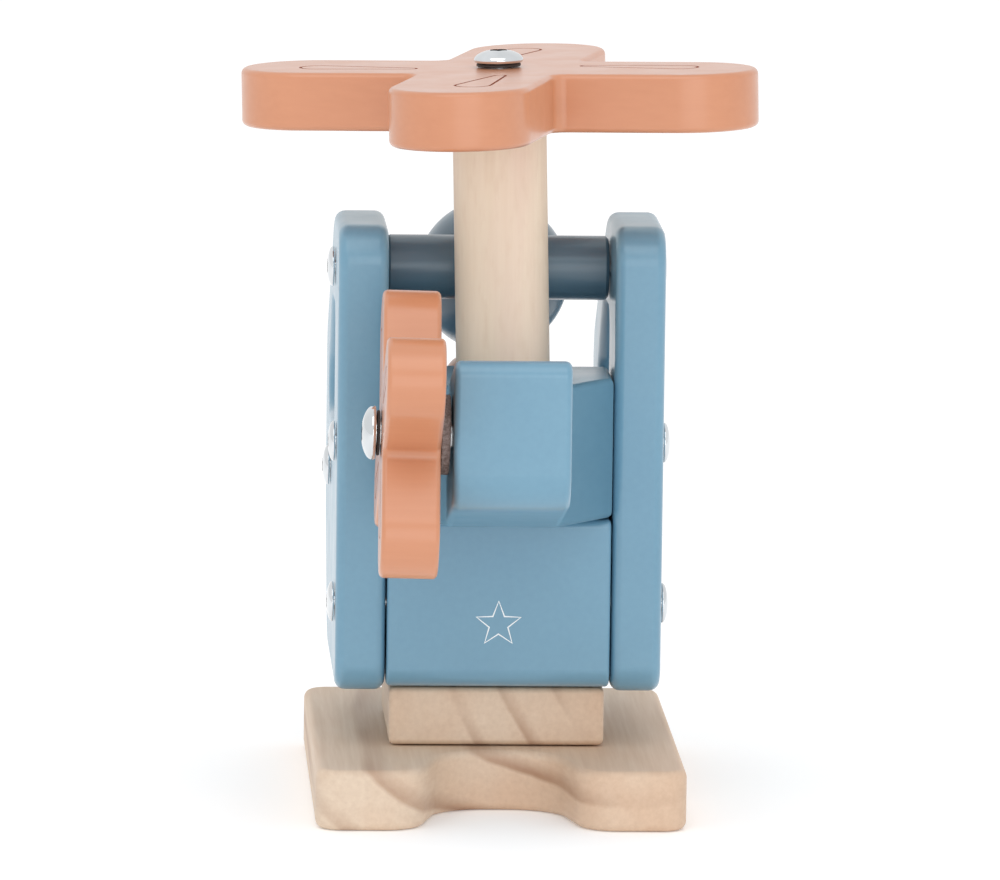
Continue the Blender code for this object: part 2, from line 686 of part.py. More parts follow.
def make_tail_rotor():
    """The tail rotor's object origin lies on its turning axis, which runs out to the left."""
    outline = cross(TAIL_SPAN, TAIL_BLADE_WIDTH, TAIL_VALLEY_RADIUS)
    mesh = board_mesh("tail_rotor", [outline], TAIL_THICKNESS, TAIL_EDGE_RADIUS)
    turn = Matrix.Rotation(-TAIL_TURN, 4, "Z")
    rotor = link_part("tail_rotor", mesh, tail_frame(TAIL_OUT) @ turn, "terracotta_paint")
    inner_face = TAIL_OUT - TAIL_THICKNESS / 2
    outer_face = TAIL_OUT + TAIL_THICKNESS / 2
    bore(rotor, tail_point(inner_face - OVERRUN), tail_point(outer_face + OVERRUN),
         HUB_SHANK_RADIUS + GAP)

    make_ring("tail_rotor_spacer", SPACER_RADIUS, HUB_SHANK_RADIUS + GAP, SPACER_THICKNESS,
              tail_frame(SPACER_OUT), "grey_fibre")
    washer_out = outer_face + GAP + HUB_WASHER_THICKNESS / 2
    make_ring("tail_rotor_washer", HUB_WASHER_RADIUS, HUB_SHANK_RADIUS + GAP, HUB_WASHER_THICKNESS,
              tail_frame(washer_out), "dark_nylon")
    head_out = washer_out + HUB_WASHER_THICKNESS / 2 + GAP
    profile = hub_screw_profile(TAIL_HEAD_RADIUS, TAIL_HEAD_HEIGHT)
    screw = turned_mesh("tail_rotor_screw", profile, sides=24)
    outward = Matrix.Rotation(math.pi, 4, "Y")
    link_part("tail_rotor_screw", screw, tail_frame(head_out) @ outward, "chrome")
    make_ring("tail_insert", HUB_INSERT_RADIUS, HUB_SHANK_RADIUS + GAP, HUB_INSERT_LENGTH,
              tail_frame(-GAP - HUB_INSERT_LENGTH / 2), "brass", sides=20)


# ---- side screws --------------------------------------------------------------------

def make_side_screws():
    """Domed steel screws that hold each plate to the pieces between the plates."""
    head = SIDE_HEAD_RADIUS
    shank = SIDE_SHANK_RADIUS
    steps = 4
    dome = [(head * math.sin(math.pi / 2 * k / steps),
             SIDE_RIM + (SIDE_HEAD_HEIGHT - SIDE_RIM) * math.cos(math.pi / 2 * k / steps))
            for k in range(steps + 1)]
    profile = dome + [
        (head - SIDE_RIM, 0.0),
        (shank, 0.0),
        (shank, SIDE_TIP - SIDE_SHANK_LENGTH),
        (0.0, -SIDE_SHANK_LENGTH),
    ]
    mesh = turned_mesh("side_screw", profile, sides=16)
    for which, (y, z) in SIDE_SCREWS.items():
        for side, sign in (("left", -1), ("right", 1)):
            under_head = (sign * (CABIN_WIDTH / 2 + PLATE_THICKNESS + GAP), y, z)
            link_part(which + "_screw_" + side, mesh.copy(),
                      axis_frame(under_head, (sign, 0, 0)), "chrome")


# ---- pilot --------------------------------------------------------------------------

def make_pilot():
    """A peg figure: a ball head and a turned body on one dowel pin in the seat board."""
    foot = SEAT_TOP + GAP
    shoulder = HEAD_Z - HEAD_RADIUS - NECK_GAP
    clearance = PIN_RADIUS + GAP
    body = [
        (clearance, shoulder),
        (NECK_RADIUS, shoulder),
        ((NECK_RADIUS + SHOULDER_RADIUS) / 2 + NECK_GAP / 2, shoulder - SHOULDER_DROP / 3),
        (SHOULDER_RADIUS, shoulder - SHOULDER_DROP),
        (SKIRT_RADIUS, foot + SKIRT_CHAMFER),
        (SKIRT_RADIUS - SKIRT_CHAMFER, foot),
        (clearance, foot),
        (clearance, shoulder),
    ]
    link_part("pilot_body", turned_mesh("pilot_body", body, sides=28),
              flat_frame(0, PILOT_Y, 0), "terracotta_paint")

    pin_top = HEAD_Z - PIN_TOP_BELOW_CENTRE
    pin_bottom = SEAT_TOP - PIN_DEPTH + GAP
    pin = [(0.0, pin_top), (PIN_RADIUS, pin_top), (PIN_RADIUS, pin_bottom), (0.0, pin_bottom)]
    link_part("pilot_pin", turned_mesh("pilot_pin", pin, sides=16),
              flat_frame(0, PILOT_Y, 0), "beech")

    socket_top = pin_top + GAP
    entry = HEAD_Z - math.sqrt(HEAD_RADIUS ** 2 - clearance ** 2)
    rings = 14
    last_angle = math.pi - math.asin(clearance / HEAD_RADIUS)
    head = [(0.0, HEAD_Z + HEAD_RADIUS)]
    for k in range(1, rings):
        angle = last_angle * k / rings
        head.append((HEAD_RADIUS * math.sin(angle), HEAD_Z + HEAD_RADIUS * math.cos(angle)))
    head += [(clearance, entry), (clearance, socket_top), (0.0, socket_top)]
    link_part("pilot_head", turned_mesh("pilot_head", head, sides=28),
              flat_frame(0, PILOT_Y, 0), "blue_paint")


# ---- build --------------------------------------------------------------------------

make_base()
make_base_screws()
make_side_plates()
make_floor_block()
make_seat_board()
make_roof_dowel()
make_tail_boom()
make_mast()
make_main_rotor()
make_tail_rotor()
make_side_screws()
make_pilot()
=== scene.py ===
"""The looks of a wooden toy helicopter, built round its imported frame.

Lengths are in metres.  +X is the right side, +Y the nose, +Z up.
"""

import json
import math

import bmesh
import bpy
from mathutils import Matrix, Vector


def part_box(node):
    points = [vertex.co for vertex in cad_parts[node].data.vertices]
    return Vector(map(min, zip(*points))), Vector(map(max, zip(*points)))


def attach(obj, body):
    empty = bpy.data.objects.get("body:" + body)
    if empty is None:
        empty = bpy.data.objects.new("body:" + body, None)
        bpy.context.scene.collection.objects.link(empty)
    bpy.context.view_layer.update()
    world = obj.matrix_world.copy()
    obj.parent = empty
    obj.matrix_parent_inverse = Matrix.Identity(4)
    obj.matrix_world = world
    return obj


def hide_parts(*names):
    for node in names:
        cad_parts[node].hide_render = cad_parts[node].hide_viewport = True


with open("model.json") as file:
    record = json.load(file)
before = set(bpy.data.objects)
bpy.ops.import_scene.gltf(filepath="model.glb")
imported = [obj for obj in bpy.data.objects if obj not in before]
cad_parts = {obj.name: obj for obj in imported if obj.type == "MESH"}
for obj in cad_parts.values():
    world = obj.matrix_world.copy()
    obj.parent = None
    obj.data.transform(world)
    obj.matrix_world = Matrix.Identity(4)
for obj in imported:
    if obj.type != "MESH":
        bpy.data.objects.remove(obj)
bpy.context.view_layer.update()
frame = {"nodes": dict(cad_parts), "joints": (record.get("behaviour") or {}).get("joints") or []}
MM = 0.001
GAP = 0.3 * MM

# ---- places read from the frame -----------------------------------------------------

JOINTS = {joint["name"]: joint for joint in frame["joints"]}
MAIN_HUB = Vector(JOINTS["main_rotor_spin"]["pos_m"])
MAIN_AXIS = Vector(JOINTS["main_rotor_spin"]["axis"]).normalized()     # up the mast
TAIL_HUB = Vector(JOINTS["tail_rotor_spin"]["pos_m"])
TAIL_AXIS = Vector(JOINTS["tail_rotor_spin"]["axis"]).normalized()     # in towards the boom

BASE_LOW, BASE_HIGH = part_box("skid_base")
RISER_LOW, RISER_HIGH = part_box("riser_block")
LEFT_LOW, LEFT_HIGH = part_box("side_plate_left")
BOOM_LOW, BOOM_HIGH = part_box("tail_boom")
DOWEL_LOW, DOWEL_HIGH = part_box("roof_dowel")
HEAD_LOW, HEAD_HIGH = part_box("pilot_head")
BODY_LOW, BODY_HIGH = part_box("pilot_body")

PLATE_THICKNESS = LEFT_HIGH.x - LEFT_LOW.x
HEAD_CENTRE = Vector(((HEAD_LOW.x + HEAD_HIGH.x) / 2, (HEAD_LOW.y + HEAD_HIGH.y) / 2,
                      HEAD_HIGH.z - (HEAD_HIGH.x - HEAD_LOW.x) / 2))
HEAD_RADIUS = (HEAD_HIGH.x - HEAD_LOW.x) / 2

# ---- outline dimensions that a box can't give; the same as the solids' --------------

FOOT_WIDTH = 24.5 * MM
NOTCH_DEPTH = 29.0 * MM
NOTCH_FLOOR = 26.0 * MM
BASE_CORNER_RADIUS = 6.0 * MM
BASE_TOE_RADIUS = 10.0 * MM
BASE_NOTCH_RADIUS = 13.0 * MM
BASE_EDGE_RADIUS = 2.0 * MM
BASE_RECESS_REACH = 4.2 * MM        # from the base screw's underside up to its recess's top
RISER_EDGE_RADIUS = 1.5 * MM

CHIN_Y = 42.0 * MM
NOSE_LOW = 62.0 * MM
NOSE_HIGH = 104.0 * MM
ROOF_FRONT = 11.6 * MM
REAR_FOOT_RADIUS = 7.0 * MM
CHIN_RADIUS = 20.0 * MM
NOSE_LOW_RADIUS = 30.0 * MM
NOSE_HIGH_RADIUS = 14.0 * MM
ROOF_FRONT_RADIUS = 26.0 * MM
ROOF_REAR_RADIUS = 9.0 * MM
WINDOW_REAR = -4.0 * MM
WINDOW_SILL = 88.0 * MM
WINDOW_SILL_FRONT = 53.0 * MM
WINDOW_TOP = 116.4 * MM
WINDOW_TOP_FRONT = 23.0 * MM
WINDOW_REAR_RADIUS = 5.0 * MM
WINDOW_SILL_RADIUS = 7.0 * MM
WINDOW_TOP_RADIUS = 6.0 * MM
PLATE_EDGE_RADIUS = 2.5 * MM
FLOOR_LOW_RADIUS = 5.0 * MM
INNER_BOARD_RADIUS = 2.0 * MM
INNER_BOARD_EDGE_RADIUS = 1.0 * MM
DOWEL_CHAMFER = 0.8 * MM

BOOM_BOTTOM = 70.8 * MM
BOOM_TOP = 104.5 * MM
BOOM_BEND = -48.0 * MM
BOOM_END_BOTTOM = 82.3 * MM
BOOM_END_TOP = 117.4 * MM
BOOM_ARM_WIDTH = 27.4 * MM
BOOM_EDGE_RADIUS = 1.6 * MM
BOOM_HEEL_RADIUS = 10.0 * MM        # soft lower corner of the boom's end
BOOM_CROWN_RADIUS = 3.6 * MM

MAST_RADIUS = 11.2 * MM
MAST_CHAMFER = 0.6 * MM

ROTOR_SPAN = 124.9 * MM
ROTOR_BLADE_WIDTH = 33.6 * MM
ROTOR_THICKNESS = 13.9 * MM
ROTOR_VALLEY_RADIUS = 3.0 * MM
ROTOR_EDGE_RADIUS = 1.4 * MM
ROTOR_TURN = math.radians(-13.9)
TAIL_SPAN = 73.0 * MM
TAIL_BLADE_WIDTH = 20.4 * MM
TAIL_THICKNESS = 13.6 * MM
TAIL_VALLEY_RADIUS = 2.0 * MM
TAIL_EDGE_RADIUS = 1.2 * MM
TAIL_TURN = math.radians(35.0)
TAIL_SCALE = TAIL_SPAN / ROTOR_SPAN
SPACER_RADIUS = 9.35 * MM
SPACER_THICKNESS = 2.1 * MM
HUB_BORE_RADIUS = 3.3 * MM
HUB_SHANK_RADIUS = 3.0 * MM
HUB_SHANK_LENGTH = 34.0 * MM
HUB_WASHER_RADIUS = 5.3 * MM
HUB_WASHER_THICKNESS = 0.7 * MM
MAIN_HEAD = (5.9 * MM, 3.0 * MM)    # radius and height
TAIL_HEAD = (6.4 * MM, 3.3 * MM)
HUB_SOCKET = (0.39, 0.55)           # parts of the head's radius and height
SIDE_SHANK_RADIUS = 2.0 * MM
SIDE_SOCKET = (1.9 * MM, 0.9 * MM)  # radius and depth

ENGRAVED_NARROW = (20.5 * MM, 4.4 * MM, 1.4 * MM)   # along and across the blade, and radius
ENGRAVED_WIDE = (43.5 * MM, 2.6 * MM, 4.2 * MM)
GROOVE_RADIUS = 0.32 * MM

ARC_STEP = math.radians(5)
BEVEL_ANGLE = math.radians(50)      # steeper edges are rounded by the bevel
SHALLOW_BEND = math.radians(20)     # edges between this and the bevel's angle stay sharp
HOLE_SIDES = 48
OVERRUN = 1.0 * MM
MERGE_DISTANCE = 1e-6


# ---- node materials -----------------------------------------------------------------

def linear(red, green, blue):
    """A colour given as 0 to 255 display values, in the linear values that shaders use."""
    def channel(value):
        value /= 255
        return value / 12.92 if value <= 0.04045 else ((value + 0.055) / 1.055) ** 2.4
    return (channel(red), channel(green), channel(blue), 1.0)


class Surface:
    """A Principled material and short calls that add nodes in front of it."""

    def __init__(self, name, roughness, metallic=0.0):
        self.material = bpy.data.materials.new(name)
        self.material.use_nodes = True
        self.tree = self.material.node_tree
        self.shader = self.tree.nodes["Principled BSDF"]
        self.shader.inputs["Roughness"].default_value = roughness
        self.shader.inputs["Metallic"].default_value = metallic
        self.place = self.node("ShaderNodeTexCoord").outputs["Object"]

    def node(self, kind, inputs=(), **settings):
        made = self.tree.nodes.new(kind)
        for name, value in settings.items():
            setattr(made, name, value)
        for key, value in dict(inputs).items():
            if isinstance(value, bpy.types.NodeSocket):
                self.tree.links.new(value, made.inputs[key])
            else:
                made.inputs[key].default_value = value
        return made

    def math(self, operation, first, second=0.0):
        return self.node("ShaderNodeMath", {0: first, 1: second}, operation=operation).outputs[0]

    def noise(self, scale, detail=3.0, roughness=0.5):
        """Noise with its features per metre given along each axis."""
        stretched = self.node("ShaderNodeMapping", {"Vector": self.place, "Scale": scale})
        return self.node("ShaderNodeTexNoise", {
            "Vector": stretched.outputs[0], "Scale": 1.0, "Detail": detail,
            "Roughness": roughness}).outputs[0]

    def spread(self, value, from_low, from_high, to_low, to_high):
        return self.node("ShaderNodeMapRange", {
            "Value": value, "From Min": from_low, "From Max": from_high,
            "To Min": to_low, "To Max": to_high}).outputs[0]

    def blend(self, factor, first, second):
        return self.node("ShaderNodeMix", {0: factor, 6: first, 7: second},
                         data_type="RGBA").outputs[2]

    def ramp(self, value, stops):
        made = self.node("ShaderNodeValToRGB", {0: value})
        elements = made.color_ramp.elements
        while len(elements) < len(stops):
            elements.new(0.5)
        for element, (position, colour) in zip(elements, stops):
            element.position = position
            element.color = colour
        return made.outputs[0]

    def bump(self, height, distance, strength, under=None):
        inputs = {"Height": height, "Distance": distance, "Strength": strength}
        if under is not None:
            inputs["Normal"] = under
        return self.node("ShaderNodeBump", inputs).outputs[0]

    def finish(self, colour=None, roughness=None, normal=None):
        for name, value in (("Base Color", colour), ("Roughness", roughness),
                            ("Normal", normal)):
            if value is not None:
                self.tree.links.new(value, self.shader.inputs[name])
        return self.material


def grain_scale(along, across, axis):
    scale = [across, across, across]
    scale["XYZ".index(axis)] = along
    return tuple(scale)


def paint(name, deep, pale, grain="Y"):
    """Sprayed satin paint: slight cloudiness, orange peel, and wood grain showing through."""
    surface = Surface(name, 0.4)
    surface.shader.inputs["Coat Weight"].default_value = 0.55
    surface.shader.inputs["Coat Roughness"].default_value = 0.22
    cloud = surface.noise((22.0, 22.0, 22.0), 4.0)
    fibre = surface.noise(grain_scale(35.0, 620.0, grain), 3.0)
    peel = surface.noise((1500.0, 1500.0, 1500.0), 2.0)
    tone = surface.math("ADD", surface.spread(cloud, 0.3, 0.7, 0.1, 0.9),
                        surface.spread(fibre, 0.3, 0.7, -0.15, 0.15))
    colour = surface.blend(tone, deep, pale)
    roughness = surface.spread(surface.noise((90.0, 90.0, 90.0)), 0.3, 0.7, 0.3, 0.4)
    normal = surface.bump(peel, 0.012 * MM, 0.3)
    normal = surface.bump(fibre, 0.02 * MM, 0.3, normal)
    return surface.finish(colour, roughness, normal)


def ring_wood(name, centre, spacing, wobble, streaks_at, streaks_reach, grain="Y"):
    """Sawn softwood: growth rings round a pith line along the grain, with fine fibres.

    The late wood is dark only within streaks_reach of streaks_at, a place along X.
    """
    surface = Surface(name, 0.55)
    parts = surface.node("ShaderNodeSeparateXYZ", {0: surface.place})
    across = [parts.outputs[axis] for axis in "XYZ" if axis != grain]
    offsets = [surface.math("SUBTRACT", value, at) for value, at in zip(across, centre)]
    squares = [surface.math("MULTIPLY", value, value) for value in offsets]
    distance = surface.math("SQRT", surface.math("ADD", *squares))
    warp = surface.noise(grain_scale(6.0, 26.0, grain), 3.0)
    distance = surface.math("ADD", distance, surface.spread(warp, 0.3, 0.7, -wobble, wobble))
    phase = surface.math("FRACT", surface.math("DIVIDE", distance, spacing))
    white = (1.0, 1.0, 1.0, 1.0)
    black = (0.0, 0.0, 0.0, 1.0)
    late = surface.ramp(phase, [(0.0, black), (0.58, black), (0.8, white), (0.84, white),
                                (0.91, black)])
    away = surface.math("ABSOLUTE", surface.math("SUBTRACT", parts.outputs["X"], streaks_at))
    near = surface.spread(away, 0.55 * streaks_reach, streaks_reach, 1.0, 0.12)
    patch = surface.spread(surface.noise((30.0, 12.0, 30.0), 2.0), 0.36, 0.62, 0.35, 1.0)
    late = surface.math("MULTIPLY", surface.math("MULTIPLY", late, patch), near)
    fibre = surface.noise(grain_scale(26.0, 780.0, grain), 4.0, 0.6)
    rose = surface.spread(surface.noise(grain_scale(9.0, 34.0, grain), 3.0), 0.35, 0.65, 0.0, 1.0)
    colour = surface.blend(rose, PINE_LIGHT, PINE_ROSE)
    colour = surface.blend(surface.math("MULTIPLY", late, 0.75), colour, PINE_LATE)
    shade = surface.spread(fibre, 0.3, 0.7, 0.0, 0.16)
    colour = surface.blend(shade, colour, PINE_LATE)
    roughness = surface.spread(fibre, 0.3, 0.7, 0.46, 0.6)
    normal = surface.bump(fibre, 0.05 * MM, 0.4)
    normal = surface.bump(late, 0.04 * MM, 0.3, normal)
    return surface.finish(colour, roughness, normal)


def beech(name, grain="Z"):
    """Close-grained hardwood: cream to rose mottling with short darker ray flecks."""
    surface = Surface(name, 0.5)
    cloud = surface.noise(grain_scale(9.0, 75.0, grain), 3.0)
    fibre = surface.noise(grain_scale(40.0, 900.0, grain), 4.0, 0.6)
    fleck = surface.noise(grain_scale(150.0, 620.0, grain), 2.0)
    colour = surface.ramp(surface.spread(cloud, 0.32, 0.68, 0.0, 1.0), [
        (0.0, linear(238, 218, 193)), (0.5, linear(243, 225, 202)), (1.0, linear(240, 217, 197))])
    flecks = surface.spread(fleck, 0.5, 0.78, 0.0, 0.22)
    colour = surface.blend(flecks, colour, linear(218, 188, 161))
    colour = surface.blend(surface.spread(fibre, 0.3, 0.7, 0.0, 0.12), colour,
                           linear(212, 184, 157))
    roughness = surface.spread(fibre, 0.3, 0.7, 0.44, 0.58)
    return surface.finish(colour, roughness, surface.bump(fibre, 0.04 * MM, 0.4))


def metal(name, tint, roughness, brushed):
    """Plated or turned metal with fine scratches; brushed is their height in metres."""
    surface = Surface(name, roughness, 1.0)
    scratch = surface.noise((2600.0, 260.0, 1300.0), 3.0)
    cloud = surface.noise((130.0, 130.0, 130.0), 2.0)
    darker = tuple(0.86 * value for value in tint[:3]) + (1.0,)
    colour = surface.blend(surface.spread(cloud, 0.3, 0.7, 0.0, 1.0), tint, darker)
    rough = surface.spread(cloud, 0.3, 0.7, 0.8 * roughness, 1.4 * roughness)
    return surface.finish(colour, rough, surface.bump(scratch, brushed, 0.5))


def fibre_board(name):
    """Pressed grey-brown fibre with pale and dark specks."""
    surface = Surface(name, 0.9)
    speck = surface.noise((1300.0, 1300.0, 1300.0), 4.0, 0.7)
    colour = surface.ramp(speck, [(0.3, linear(112, 98, 95)), (0.5, linear(152, 137, 133)),
                                  (0.7, linear(192, 178, 172))])
    return surface.finish(colour, None, surface.bump(speck, 0.15 * MM, 0.7))


def moulded(name, deep, pale, roughness):
    """Nylon, scorched wood, print or thick paint: a fine pebbled surface."""
    surface = Surface(name, roughness)
    pebble = surface.noise((1900.0, 1900.0, 1900.0), 2.0)
    colour = surface.blend(surface.spread(pebble, 0.3, 0.7, 0.0, 1.0), deep, pale)
    return surface.finish(colour, None, surface.bump(pebble, 0.04 * MM, 0.5))


BLUE_DEEP = linear(101, 146, 171)
BLUE_PALE = linear(110, 155, 179)
# The body's blue made darker: painted shade for the roof dowel and the helmet, which sit under the
# rotor.
SHADED_BLUE_DEEP = linear(84, 114, 133)
SHADED_BLUE_PALE = linear(93, 123, 142)
CLAY_DEEP = linear(197, 131, 95)
CLAY_PALE = linear(206, 141, 105)
PINE_LIGHT = linear(221, 201, 179)
PINE_ROSE = linear(214, 185, 159)
PINE_LATE = linear(154, 112, 84)

BLUE = paint("blue_satin_paint", BLUE_DEEP, BLUE_PALE)
# Painted shade: a darker copy of the blue paint, for the dowel and the head.
SHADED_BLUE = paint("blue_satin_paint_darkened_as_shade", SHADED_BLUE_DEEP, SHADED_BLUE_PALE, "X")
CLAY = paint("terracotta_satin_paint", CLAY_DEEP, CLAY_PALE, "X")
BASE_PINE = ring_wood("base_pine", (30 * MM, 78 * MM), 15 * MM, 1.8 * MM, -14 * MM, 44 * MM)
RISER_PINE = ring_wood("riser_pine", (150 * MM, 102 * MM), 11.2 * MM, 0.7 * MM, 3 * MM, 15 * MM)
BEECH = beech("beech_dowel")
FACE_WOOD = beech("face_beech", "X")
CHROME = metal("bright_chrome", linear(226, 230, 233), 0.09, 0.003 * MM)
ZINC = metal("zinc_plate", linear(196, 198, 200), 0.32, 0.01 * MM)
BRASS = metal("turned_brass", linear(214, 176, 104), 0.24, 0.01 * MM)
FIBRE = fibre_board("pressed_fibre")
NYLON = moulded("dark_nylon", linear(38, 32, 31), linear(58, 50, 48), 0.5)
SCORCH = moulded("engraved_scorch", linear(132, 66, 38), linear(156, 84, 52), 0.8)
PRINT = moulded("white_print", linear(236, 241, 243), linear(246, 249, 250), 0.5)
EYE_PAINT = moulded("eye_paint", linear(50, 38, 33), linear(64, 50, 44), 0.4)


# ---- placing and mesh building ------------------------------------------------------

def side_frame(x, y=0.0, z=0.0):
    """Outline in side view (local x to the nose, local y up), thickness along X."""
    axes = Matrix(((0, 1, 0), (0, 0, 1), (1, 0, 0))).transposed().to_4x4()
    return Matrix.Translation(Vector((x, y, z))) @ axes


def axis_frame(point, direction):
    """Local z along the direction, for turned pieces."""
    turn = Vector(direction).to_track_quat("Z", "Y").to_matrix().to_4x4()
    return Matrix.Translation(Vector(point)) @ turn


def rounded(corners):
    """Closed outline through (x, y, radius) corners, each rounded unless its radius is 0."""
    outline = []
    for index, (x, y, radius) in enumerate(corners):
        if not radius:
            outline.append((x, y))
            continue
        here = Vector((x, y))
        before = (Vector(corners[index - 1][:2]) - here).normalized()
        after = (Vector(corners[(index + 1) % len(corners)][:2]) - here).normalized()
        half = before.angle(after) / 2
        centre = here + (before + after).normalized() * (radius / math.sin(half))
        start = here + before * (radius / math.tan(half)) - centre
        sweep = math.pi - 2 * half
        turn = math.copysign(sweep, before.x * after.y - before.y * after.x)
        pieces = max(2, math.ceil(sweep / ARC_STEP))
        for k in range(pieces + 1):
            point = centre + Matrix.Rotation(-turn * k / pieces, 2) @ start
            outline.append((point.x, point.y))
    return outline


def cross(span, width, valley):
    """Four equal blades with round ends; small arcs fill the valleys between them."""
    half = width / 2
    end_pieces = math.ceil(math.pi / ARC_STEP)
    valley_pieces = 8
    end_centre = span / 2 - half
    corner = half + valley
    quarter = []
    for k in range(end_pieces + 1):
        angle = -math.pi / 2 + math.pi * k / end_pieces
        quarter.append(Vector((end_centre + half * math.cos(angle), half * math.sin(angle))))
    for k in range(valley_pieces + 1):
        angle = math.radians(270 - 90 * k / valley_pieces)
        arc = Vector((math.cos(angle), math.sin(angle)))
        quarter.append(Vector((corner, corner)) + arc * valley)
    outline = []
    for blade in range(4):
        turn = Matrix.Rotation(blade * math.pi / 2, 2)
        outline += [tuple(turn @ point) for point in quarter]
    return outline


def teardrop(narrow_end, wide_end):
    """One loop round two circles, each given as (x, y, radius)."""
    narrow = Vector(narrow_end[:2])
    wide = Vector(wide_end[:2])
    ahead = math.atan2(wide.y - narrow.y, wide.x - narrow.x)
    lean = math.asin((wide_end[2] - narrow_end[2]) / (wide - narrow).length)
    side = math.pi / 2 + lean
    steps = 24
    loop = []
    for centre, radius, low, high in (
            (wide, wide_end[2], ahead - side, ahead + side),
            (narrow, narrow_end[2], ahead + side, ahead + 2 * math.pi - side)):
        for k in range(steps + 1):
            angle = low + (high - low) * k / steps
            loop.append((centre.x + radius * math.cos(angle), centre.y + radius * math.sin(angle)))
    return loop


def poly_curve(name, loops, height=0.0):
    curve = bpy.data.curves.new(name, "CURVE")
    for loop in loops:
        spline = curve.splines.new("POLY")
        spline.points.add(len(loop) - 1)
        for point, place in zip(spline.points, loop):
            point.co = (*place[:2], height if len(place) == 2 else place[2], 1.0)
        spline.use_cyclic_u = True
    return curve


def baked(made):
    """The object's evaluated surface as a clean mesh; the object is removed."""
    bpy.context.view_layer.update()
    mesh = bpy.data.meshes.new_from_object(
        made.evaluated_get(bpy.context.evaluated_depsgraph_get()))
    bm = bmesh.new()
    bm.from_mesh(mesh)
    bmesh.ops.remove_doubles(bm, verts=bm.verts, dist=MERGE_DISTANCE)
    bmesh.ops.recalc_face_normals(bm, faces=bm.faces)
    bm.to_mesh(mesh)
    bm.free()
    bpy.data.objects.remove(made, do_unlink=True)
    return mesh


def link(name, data):
    made = bpy.data.objects.new(name, data)
    bpy.context.scene.collection.objects.link(made)
    return made


def board_mesh(name, loops, thickness, edge_radius):
    """A flat board with rounded edges; loops after the first are holes in it."""
    curve = poly_curve(name, loops)
    curve.dimensions = "2D"
    curve.fill_mode = "BOTH"
    curve.extrude = thickness / 2 - edge_radius
    curve.bevel_depth = edge_radius
    curve.bevel_resolution = 4 if edge_radius else 0
    curve.offset = -edge_radius
    return baked(link(name + "_outline", curve))


def turned_mesh(name, profile, sides=96):
    """A turned solid from an (radius, height) profile that runs from top to bottom."""
    mesh = bpy.data.meshes.new(name)
    bm = bmesh.new()
    verts = [bm.verts.new((radius, 0.0, height)) for radius, height in profile]
    for upper, lower in zip(verts, verts[1:]):
        bm.edges.new((upper, lower))
    bm.to_mesh(mesh)
    bm.free()
    guide = link(name + "_profile", mesh)
    screw = guide.modifiers.new("turn", "SCREW")
    screw.steps = sides
    screw.render_steps = sides
    screw.use_merge_vertices = True
    screw.merge_threshold = MERGE_DISTANCE
    return baked(guide)


def boolean(mesh, cutter, operation="DIFFERENCE"):
    """The first mesh cut by the second, whose faces bring their own material."""
    body = link("body", mesh)
    tool = link("tool", cutter)
    cut = body.modifiers.new("cut", "BOOLEAN")
    cut.operation = operation
    cut.object = tool
    cut.solver = "EXACT"
    cut.material_mode = "TRANSFER"
    made = baked(body)
    bpy.data.objects.remove(tool, do_unlink=True)
    return made


def prism(sides, radius, low, high):
    mesh = bpy.data.meshes.new("prism")
    bm = bmesh.new()
    bmesh.ops.create_cone(bm, cap_ends=True, segments=sides, radius1=radius, radius2=radius,
                          depth=high - low, matrix=Matrix.Translation((0, 0, (low + high) / 2)))
    bm.to_mesh(mesh)
    bm.free()
    return mesh


def crease_shallow_bends(mesh):
    """Mark as sharp only the bends that the bevel leaves alone."""
    bm = bmesh.new()
    bm.from_mesh(mesh)
    for edge in bm.edges:
        edge.smooth = not SHALLOW_BEND < edge.calc_face_angle(0.0) < BEVEL_ANGLE
    bm.to_mesh(mesh)
    bm.free()


def show(node, mesh, matrix, material, body="root", sharp=35, bevel=0.0):
    """Show the mesh in place of a CAD node, riding on the node's body."""
    mesh.transform(matrix)
    mesh.shade_smooth()
    mesh.set_sharp_from_angle(angle=math.radians(sharp))
    piece = link("fine_" + node, mesh)
    if not mesh.materials:
        mesh.materials.append(material)
    for index, held in enumerate(mesh.materials):
        if held is None:
            mesh.materials[index] = material
    if bevel:
        edges = piece.modifiers.new("rounded_edges", "BEVEL")
        edges.width = bevel
        edges.segments = 5
        edges.limit_method = "ANGLE"
        edges.angle_limit = BEVEL_ANGLE
        edges.use_clamp_overlap = False
        crease_shallow_bends(mesh)
    weighted = piece.modifiers.new("even_shading", "WEIGHTED_NORMAL")
    weighted.keep_sharp = True
    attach(piece, body)
    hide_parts(node)
    return piece


def add_detail(name, mesh, matrix, material, body="root"):
    """A printed or painted mark that no CAD node stands for."""
    mesh.transform(matrix)
    mesh.shade_smooth()
    mesh.set_sharp_from_angle(angle=math.radians(40))
    mesh.materials.clear()
    mesh.materials.append(material)
    piece = link(name, mesh)
    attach(piece, body)
    return piece


# ---- skid base and riser ------------------------------------------------------------

